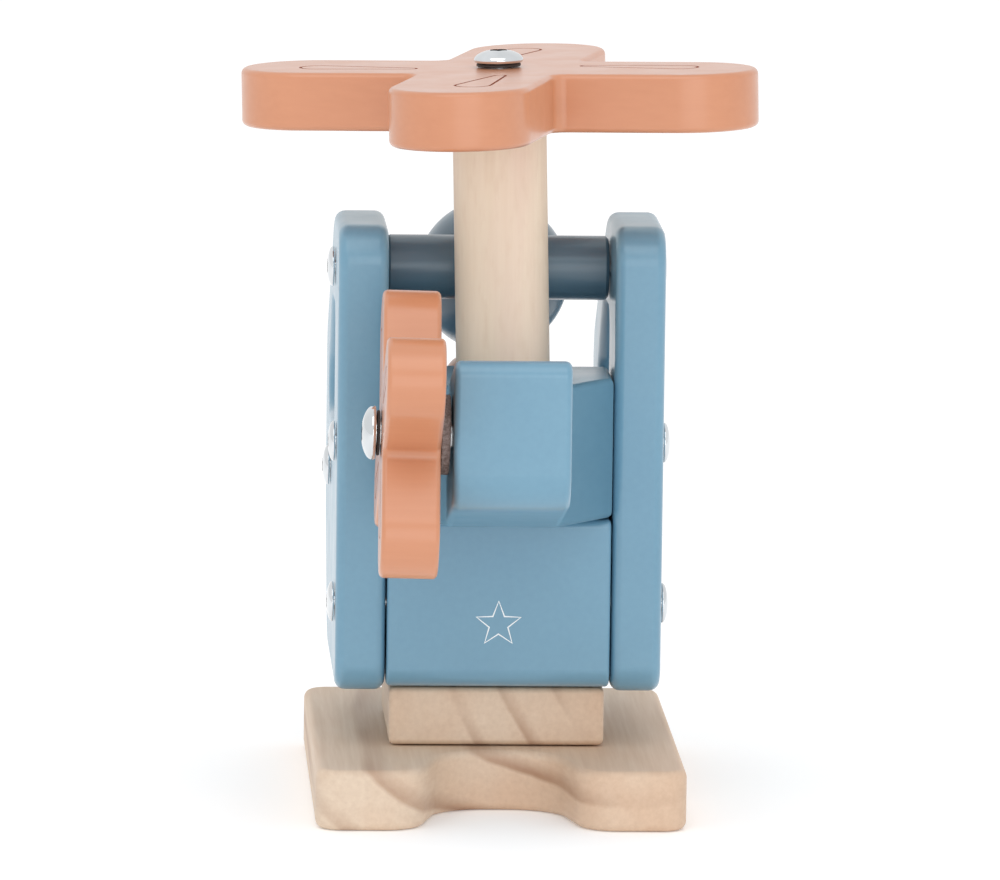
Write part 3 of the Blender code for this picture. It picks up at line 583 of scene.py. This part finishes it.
def show_base():
    half_width = BASE_HIGH.x
    half_length = BASE_HIGH.y
    foot_inner = half_width - FOOT_WIDTH
    half_floor = NOTCH_FLOOR / 2
    notch = half_length - NOTCH_DEPTH
    rear = [
        (half_width, -half_length, BASE_CORNER_RADIUS),
        (foot_inner, -half_length, BASE_TOE_RADIUS),
        (half_floor, -notch, BASE_NOTCH_RADIUS),
        (-half_floor, -notch, BASE_NOTCH_RADIUS),
        (-foot_inner, -half_length, BASE_TOE_RADIUS),
        (-half_width, -half_length, BASE_CORNER_RADIUS),
    ]
    outline = rounded(rear + [(-x, -y, radius) for x, y, radius in rear])
    thickness = BASE_HIGH.z - BASE_LOW.z
    mesh = board_mesh("base", [outline], thickness, BASE_EDGE_RADIUS)
    for side in ("rear", "front"):
        low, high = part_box("base_screw_" + side)
        recess = (high.x - low.x) / 2 + GAP
        top = low.z + BASE_RECESS_REACH - thickness / 2
        hole = prism(HOLE_SIDES, recess, -thickness, top)
        hole.transform(Matrix.Translation((0, (low.y + high.y) / 2, 0)))
        mesh = boolean(mesh, hole)
    show("skid_base", mesh, Matrix.Translation((0, 0, thickness / 2)), BASE_PINE)


def show_riser():
    size = RISER_HIGH - RISER_LOW
    mesh = bpy.data.meshes.new("riser")
    bm = bmesh.new()
    bmesh.ops.create_cube(bm, size=1.0, matrix=Matrix.Diagonal((*size, 1.0)))
    bm.to_mesh(mesh)
    bm.free()
    show("riser_block", mesh, Matrix.Translation((RISER_LOW + RISER_HIGH) / 2), RISER_PINE,
         bevel=RISER_EDGE_RADIUS)


# ---- body ---------------------------------------------------------------------------

def plate_loops():
    outline = rounded([
        (LEFT_LOW.y, LEFT_LOW.z, REAR_FOOT_RADIUS),
        (CHIN_Y, LEFT_LOW.z, CHIN_RADIUS),
        (LEFT_HIGH.y, NOSE_LOW, NOSE_LOW_RADIUS),
        (LEFT_HIGH.y, NOSE_HIGH, NOSE_HIGH_RADIUS),
        (ROOF_FRONT, LEFT_HIGH.z, ROOF_FRONT_RADIUS),
        (LEFT_LOW.y, LEFT_HIGH.z, ROOF_REAR_RADIUS),
    ])
    window = rounded([
        (WINDOW_REAR, WINDOW_SILL, WINDOW_REAR_RADIUS),
        (WINDOW_SILL_FRONT, WINDOW_SILL, WINDOW_SILL_RADIUS),
        (WINDOW_TOP_FRONT, WINDOW_TOP, WINDOW_TOP_RADIUS),
        (WINDOW_REAR, WINDOW_TOP, WINDOW_REAR_RADIUS),
    ])
    return [outline, window]


def show_plates():
    for side in ("left", "right"):
        low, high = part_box("side_plate_" + side)
        mesh = board_mesh("plate", plate_loops(), PLATE_THICKNESS, PLATE_EDGE_RADIUS)
        show("side_plate_" + side, mesh, side_frame((low.x + high.x) / 2), BLUE)


def show_inner_board(node, low_radius):
    """The floor block or the seat board, which fill the width between the plates."""
    low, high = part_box(node)
    outline = rounded([
        (low.y, low.z, low_radius),
        (high.y, low.z, low_radius),
        (high.y, high.z, INNER_BOARD_RADIUS),
        (low.y, high.z, INNER_BOARD_RADIUS),
    ])
    mesh = board_mesh(node, [outline], high.x - low.x, INNER_BOARD_EDGE_RADIUS)
    show(node, mesh, side_frame(0), BLUE)


def show_star():
    """A thin five-pointed star printed on the floor block's rear face."""
    outer = 5.6 * MM
    inner = 0.42 * outer
    line_radius = 0.2 * MM
    flatness = 0.25
    height = 45 * MM
    rear_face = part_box("floor_block")[0].y
    points = []
    for k in range(10):
        angle = math.pi / 2 + math.pi * k / 5
        radius = outer if k % 2 == 0 else inner
        points.append((radius * math.cos(angle), radius * math.sin(angle)))
    curve = poly_curve("star", [points])
    curve.bevel_depth = line_radius
    curve.bevel_resolution = 2
    curve.dimensions = "3D"
    mesh = baked(link("star_outline", curve))
    flatten = Matrix.Diagonal((1.0, 1.0, flatness, 1.0))
    upright = Matrix.Rotation(math.pi / 2, 4, "X")
    place = Matrix.Translation((0, rear_face, height)) @ upright @ flatten
    add_detail("rear_star_print", mesh, place, PRINT)


def rod_profile(radius, low, high, chamfer):
    return [(0.0, high), (radius - chamfer, high), (radius, high - chamfer),
            (radius, low + chamfer), (radius - chamfer, low), (0.0, low)]


def show_dowel():
    radius = (DOWEL_HIGH.z - DOWEL_LOW.z) / 2
    centre = (DOWEL_LOW + DOWEL_HIGH) / 2
    profile = rod_profile(radius, -DOWEL_HIGH.x, DOWEL_HIGH.x, DOWEL_CHAMFER)
    mesh = turned_mesh("dowel", profile)
    # The dowel gets the darker blue, which is painted shade from the rotor above it.
    show("roof_dowel", mesh, axis_frame(centre, (1, 0, 0)), SHADED_BLUE)


def show_boom():
    """Side profile with a soft heel, narrowed by the plan outline, then edge-rounded."""
    profile = rounded([
        (BOOM_HIGH.y, BOOM_BOTTOM, BOOM_CROWN_RADIUS),
        (BOOM_HIGH.y, BOOM_TOP, BOOM_CROWN_RADIUS),
        (BOOM_BEND, BOOM_TOP, 0.0),
        (BOOM_LOW.y, BOOM_END_TOP, BOOM_CROWN_RADIUS),
        (BOOM_LOW.y, BOOM_END_BOTTOM, BOOM_HEEL_RADIUS),
        (BOOM_BEND, BOOM_BOTTOM, 0.0),
    ])
    half_block = BOOM_HIGH.x
    half_arm = BOOM_ARM_WIDTH / 2
    right = [
        (half_block, BOOM_HIGH.y + OVERRUN),
        (half_block, LEFT_LOW.y),
        (half_arm, BOOM_BEND),
        (half_arm, BOOM_LOW.y - OVERRUN),
    ]
    plan = board_mesh("plan", [right + [(-x, y) for x, y in reversed(right)]],
                      4 * (BOOM_TOP - BOOM_BOTTOM), 0.0)
    plan.transform(Matrix.Translation((0, 0, (BOOM_TOP + BOOM_BOTTOM) / 2)))
    side = board_mesh("side", [profile], 2 * half_block + 2 * OVERRUN, 0.0)
    side.transform(side_frame(0))
    mesh = boolean(side, plan, "INTERSECT")
    show("tail_boom", mesh, Matrix.Identity(4), BLUE,
         bevel=BOOM_EDGE_RADIUS)


# ---- mast and rotors ----------------------------------------------------------------

def main_frame():
    """Local z up the leaning mast, with the origin in the middle of the main rotor."""
    lean = Vector((0, 0, 1)).rotation_difference(MAIN_AXIS).to_matrix().to_4x4()
    return Matrix.Translation(MAIN_HUB) @ lean


def tail_frame():
    """Local z out along the tail rotor's axis, with the origin in the rotor's middle."""
    lean = Vector((1, 0, 0)).rotation_difference(TAIL_AXIS).to_matrix().to_4x4()
    outward = Matrix.Rotation(math.pi, 4, "Y")
    return Matrix.Translation(TAIL_HUB) @ lean @ side_frame(0) @ outward


def show_mast():
    top = -ROTOR_THICKNESS / 2 - 2 * GAP
    foot = (BOOM_TOP - MAIN_HUB.z) / MAIN_AXIS.z + 2 * GAP
    mesh = turned_mesh("mast", rod_profile(MAST_RADIUS, foot, top, MAST_CHAMFER), 128)
    show("rotor_mast", mesh, main_frame(), BEECH)


def rotor_mesh(span, width, valley, thickness, edge_radius, scale):
    """A cross with a hub bore and an engraved teardrop on each blade's outer face."""
    mesh = board_mesh("rotor", [cross(span, width, valley)], thickness, edge_radius)
    mesh.materials.append(CLAY)
    loops = []
    drop = teardrop([scale * value for value in ENGRAVED_NARROW],
                    [scale * value for value in ENGRAVED_WIDE])
    for blade in range(4):
        turn = Matrix.Rotation(blade * math.pi / 2, 2)
        loops.append([tuple(turn @ Vector(point)) for point in drop])
    curve = poly_curve("grooves", loops, thickness / 2)
    curve.dimensions = "3D"
    curve.bevel_depth = GROOVE_RADIUS
    curve.bevel_resolution = 2
    grooves = baked(link("groove_outline", curve))
    grooves.materials.append(SCORCH)
    mesh = boolean(mesh, grooves)
    return boolean(mesh, prism(HOLE_SIDES, HUB_BORE_RADIUS, -thickness, thickness))


def show_main_rotor():
    mesh = rotor_mesh(ROTOR_SPAN, ROTOR_BLADE_WIDTH, ROTOR_VALLEY_RADIUS, ROTOR_THICKNESS,
                      ROTOR_EDGE_RADIUS, 1.0)
    turn = Matrix.Rotation(ROTOR_TURN, 4, "Z")
    show("main_rotor", mesh, main_frame() @ turn, CLAY,
         "main_rotor", sharp=30)


def show_tail_rotor():
    mesh = rotor_mesh(TAIL_SPAN, TAIL_BLADE_WIDTH, TAIL_VALLEY_RADIUS, TAIL_THICKNESS,
                      TAIL_EDGE_RADIUS, TAIL_SCALE)
    turn = Matrix.Rotation(TAIL_TURN, 4, "Z")
    show("tail_rotor", mesh, tail_frame() @ turn, CLAY,
         "tail_rotor", sharp=30)


def ring_mesh(name, outer, inner, thickness):
    half = thickness / 2
    soft = min(0.25 * MM, half / 2)
    return turned_mesh(name, [
        (inner, half), (outer - soft, half), (outer, half - soft), (outer, soft - half),
        (outer - soft, -half), (inner, -half), (inner, half)])


def show_rings():
    """The fibre spacer and the two washers under the hub screws."""
    mesh = ring_mesh("spacer", SPACER_RADIUS, HUB_BORE_RADIUS, SPACER_THICKNESS)
    inward = TAIL_THICKNESS / 2 + GAP + SPACER_THICKNESS / 2
    show("tail_rotor_spacer", mesh, tail_frame() @ Matrix.Translation((0, 0, -inward)), FIBRE)
    for node, place, thickness in (("tail_rotor_washer", tail_frame(), TAIL_THICKNESS),
                                   ("main_rotor_washer", main_frame(), ROTOR_THICKNESS)):
        mesh = ring_mesh("washer", HUB_WASHER_RADIUS, HUB_BORE_RADIUS, HUB_WASHER_THICKNESS)
        height = thickness / 2 + GAP + HUB_WASHER_THICKNESS / 2
        show(node, mesh, place @ Matrix.Translation((0, 0, height)), NYLON)


# ---- screws -------------------------------------------------------------------------

def screw_mesh(head_radius, head_height, shank_radius, length, socket_radius, socket_depth):
    """Domed head with a hexagon socket, on a plain shank; the head's underside is at 0."""
    rim = 0.15 * head_height
    steps = 18
    profile = [(head_radius * math.sin(math.pi / 2 * k / steps),
                rim + (head_height - rim) * math.cos(math.pi / 2 * k / steps))
               for k in range(steps + 1)]
    profile += [(head_radius - 0.5 * rim, 0.0), (shank_radius, 0.0),
                (shank_radius, shank_radius - length), (0.0, -length)]
    mesh = turned_mesh("screw", profile, 72)
    socket = prism(6, socket_radius, head_height - socket_depth, head_height + OVERRUN)
    return boolean(mesh, socket)


def show_hub_screws():
    socket_radius, socket_depth = HUB_SOCKET
    for node, place, thickness, head in (
            ("main_rotor_screw", main_frame(), ROTOR_THICKNESS, MAIN_HEAD),
            ("tail_rotor_screw", tail_frame(), TAIL_THICKNESS, TAIL_HEAD)):
        radius, height = head
        mesh = screw_mesh(radius, height, HUB_SHANK_RADIUS, HUB_SHANK_LENGTH,
                          socket_radius * radius, socket_depth * height)
        under_head = thickness / 2 + 2 * GAP + HUB_WASHER_THICKNESS
        show(node, mesh, place @ Matrix.Translation((0, 0, under_head)), CHROME)


def show_side_screws():
    for side, sign in (("left", -1), ("right", 1)):
        low_plate, high_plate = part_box("side_plate_" + side)
        outer_face = high_plate.x if sign > 0 else low_plate.x
        for which in ("roof", "boom", "seat", "floor"):
            low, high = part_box(which + "_screw_" + side)
            tip, top = (low.x, high.x) if sign > 0 else (high.x, low.x)
            under_head = outer_face + sign * GAP
            mesh = screw_mesh((high.z - low.z) / 2, abs(top - under_head), SIDE_SHANK_RADIUS,
                              abs(under_head - tip), *SIDE_SOCKET)
            place = axis_frame((under_head, (low.y + high.y) / 2, (low.z + high.z) / 2),
                               (sign, 0, 0))
            show(which + "_screw_" + side, mesh, place, CHROME)


# ---- pilot --------------------------------------------------------------------------

FACE_ANGLE = math.radians(52)
FACE_TILT = math.radians(12)        # the face looks a little down


def on_head(across, up, lift=0.0):
    """A point of the head's surface, by angles from straight ahead."""
    direction = Vector((math.sin(across) * math.cos(up), math.cos(across) * math.cos(up),
                        math.sin(up)))
    return HEAD_CENTRE + direction * (HEAD_RADIUS + lift)


def show_head():
    """A ball painted as a helmet in the body's blue, darkened as painted shade, with a round patch
    of bare wood for the face.
    """
    rings = 72
    profile = [(HEAD_RADIUS * math.sin(math.pi * k / rings),
                HEAD_RADIUS * math.cos(math.pi * k / rings)) for k in range(rings + 1)]
    profile[0] = (0.0, HEAD_RADIUS)
    profile[-1] = (0.0, -HEAD_RADIUS)
    mesh = turned_mesh("head", profile)
    # The helmet gets the darker blue as painted shade; the face patch is bare wood.
    mesh.materials.append(SHADED_BLUE)
    mesh.materials.append(FACE_WOOD)
    for face in mesh.polygons:
        if face.center.angle(Vector((0, 0, 1))) < FACE_ANGLE:
            face.material_index = 1
    forward = (0, math.cos(FACE_TILT), -math.sin(FACE_TILT))
    show("pilot_head", mesh, axis_frame(HEAD_CENTRE, forward), SHADED_BLUE,
         sharp=80)


def show_face():
    """Two painted dots and a plain curved mouth."""
    dot = 1.25 * MM
    dot_height = 0.12 * MM
    dot_depth = 0.4 * MM
    dot_steps = 8
    eye_across = math.radians(17)
    eye_up = math.radians(-4)
    for side, sign in (("left", -1), ("right", 1)):
        place = on_head(sign * eye_across, eye_up)
        profile = [(dot * math.sin(math.pi / 2 * k / dot_steps),
                    dot_height * math.cos(math.pi / 2 * k / dot_steps))
                   for k in range(dot_steps + 1)]
        profile += [(dot, -dot_depth), (0.0, -dot_depth)]
        mesh = turned_mesh("eye", profile, 40)
        add_detail("pilot_eye_" + side, mesh, axis_frame(place, place - HEAD_CENTRE),
                   EYE_PAINT)
    curve = bpy.data.curves.new("mouth", "CURVE")
    curve.dimensions = "3D"
    curve.bevel_depth = 0.3 * MM
    curve.bevel_resolution = 3
    curve.use_fill_caps = True
    spline = curve.splines.new("POLY")
    steps = 20
    mouth_reach = math.radians(14)
    mouth_up = math.radians(-24)
    mouth_curve = 0.9
    mouth_sunk = 0.15 * MM
    spline.points.add(steps)
    for k, point in enumerate(spline.points):
        across = mouth_reach * (2 * k / steps - 1)
        up = mouth_up + mouth_curve * across * across
        point.co = (*on_head(across, up, -mouth_sunk), 1.0)
    mesh = baked(link("mouth_line", curve))
    add_detail("pilot_mouth", mesh, Matrix.Identity(4), EYE_PAINT)


def show_pilot_body():
    foot = BODY_LOW.z
    shoulder = BODY_HIGH.z
    skirt = (BODY_HIGH.x - BODY_LOW.x) / 2
    neck = 6.5 * MM
    chest = skirt - 2 * MM
    drop = 6 * MM
    hem = 0.8 * MM
    steps = 14
    slope = [(neck + (chest - neck) * math.sin(math.pi / 2 * k / steps),
              shoulder - drop * (1 - math.cos(math.pi / 2 * k / steps)))
             for k in range(steps + 1)]
    profile = [(0.0, shoulder)] + slope + [(skirt, foot + hem), (skirt - hem, foot), (0.0, foot)]
    mesh = turned_mesh("torso", profile)
    place = Matrix.Translation((HEAD_CENTRE.x, HEAD_CENTRE.y, 0))
    show("pilot_body", mesh, place, CLAY)


def dress_cad_nodes():
    """The inner pieces keep their CAD shape and get a finished material."""
    finishes = {"base_screw_rear": ZINC, "base_screw_front": ZINC, "mast_insert": BRASS,
                "tail_insert": BRASS, "pilot_pin": BEECH}
    for node, material in finishes.items():
        data = frame["nodes"][node].data
        data.materials.clear()
        data.materials.append(material)


# ---- floor, light and camera --------------------------------------------------------

def make_floor():
    mesh = bpy.data.meshes.new("floor")
    bm = bmesh.new()
    bmesh.ops.create_grid(bm, x_segments=1, y_segments=1, size=8.0)
    bm.to_mesh(mesh)
    bm.free()
    floor = link("studio_floor", mesh)
    floor.location.z = -0.05 * MM
    surface = Surface("studio_floor", 0.9)
    surface.shader.inputs["Base Color"].default_value = (0.96, 0.96, 0.96, 1.0)
    surface.shader.inputs["Emission Color"].default_value = (1.0, 1.0, 1.0, 1.0)
    surface.shader.inputs["Emission Strength"].default_value = 0.14
    mesh.materials.append(surface.material)


def add_light(name, place, target, size, power):
    data = bpy.data.lights.new(name, "AREA")
    data.shape = "RECTANGLE"
    data.size, data.size_y = size
    data.energy = power
    light = link(name, data)
    light.location = place
    light.rotation_euler = (Vector(target) - Vector(place)).to_track_quat("-Z", "Y").to_euler()


def make_lights():
    world = bpy.data.worlds.new("studio")
    world.use_nodes = True
    background = world.node_tree.nodes["Background"]
    background.inputs["Color"].default_value = (1.0, 1.0, 1.0, 1.0)
    background.inputs["Strength"].default_value = 0.92
    bpy.context.scene.world = world
    middle = (0.0, 0.0, 0.09)
    add_light("top_softbox", (-0.15, -0.75, 1.25), middle, (1.3, 1.0), 4.2)
    add_light("camera_side_fill", (0.25, -1.7, 0.35), middle, (1.2, 0.8), 3.5)
    bpy.context.scene.view_settings.view_transform = "Standard"


def make_camera():
    """Directly behind the toy, a little to its left and above, through a long lens."""
    aim = Vector((0.0, -0.010, 0.088))
    yaw = math.radians(2.59)
    reach = 2.36119
    height = 0.41608
    roll = math.radians(-0.72)
    place = Vector((-reach * math.sin(yaw), aim.y - reach * math.cos(yaw), height))
    ahead = (aim - place).normalized()
    right = ahead.cross(Vector((0, 0, 1))).normalized()
    up = right.cross(ahead)
    rolled_right = right * math.cos(roll) - up * math.sin(roll)
    rolled_up = right * math.sin(roll) + up * math.cos(roll)
    data = bpy.data.cameras.new("camera")
    data.sensor_width = 36.0
    data.lens = 356.95
    data.shift_x = 0.0032
    data.shift_y = -0.0067
    data.clip_start = 0.05
    camera = link("camera", data)
    axes = Matrix((rolled_right, rolled_up, -ahead)).transposed().to_4x4()
    camera.matrix_world = Matrix.Translation(place) @ axes
    bpy.context.scene.camera = camera


show_base()
show_riser()
show_plates()
show_inner_board("floor_block", FLOOR_LOW_RADIUS)
show_star()
show_inner_board("seat_board", INNER_BOARD_RADIUS)
show_dowel()
show_boom()
show_mast()
show_main_rotor()
show_tail_rotor()
show_rings()
show_hub_screws()
show_side_screws()
show_head()
show_face()
show_pilot_body()
dress_cad_nodes()
make_floor()
make_lights()
make_camera()
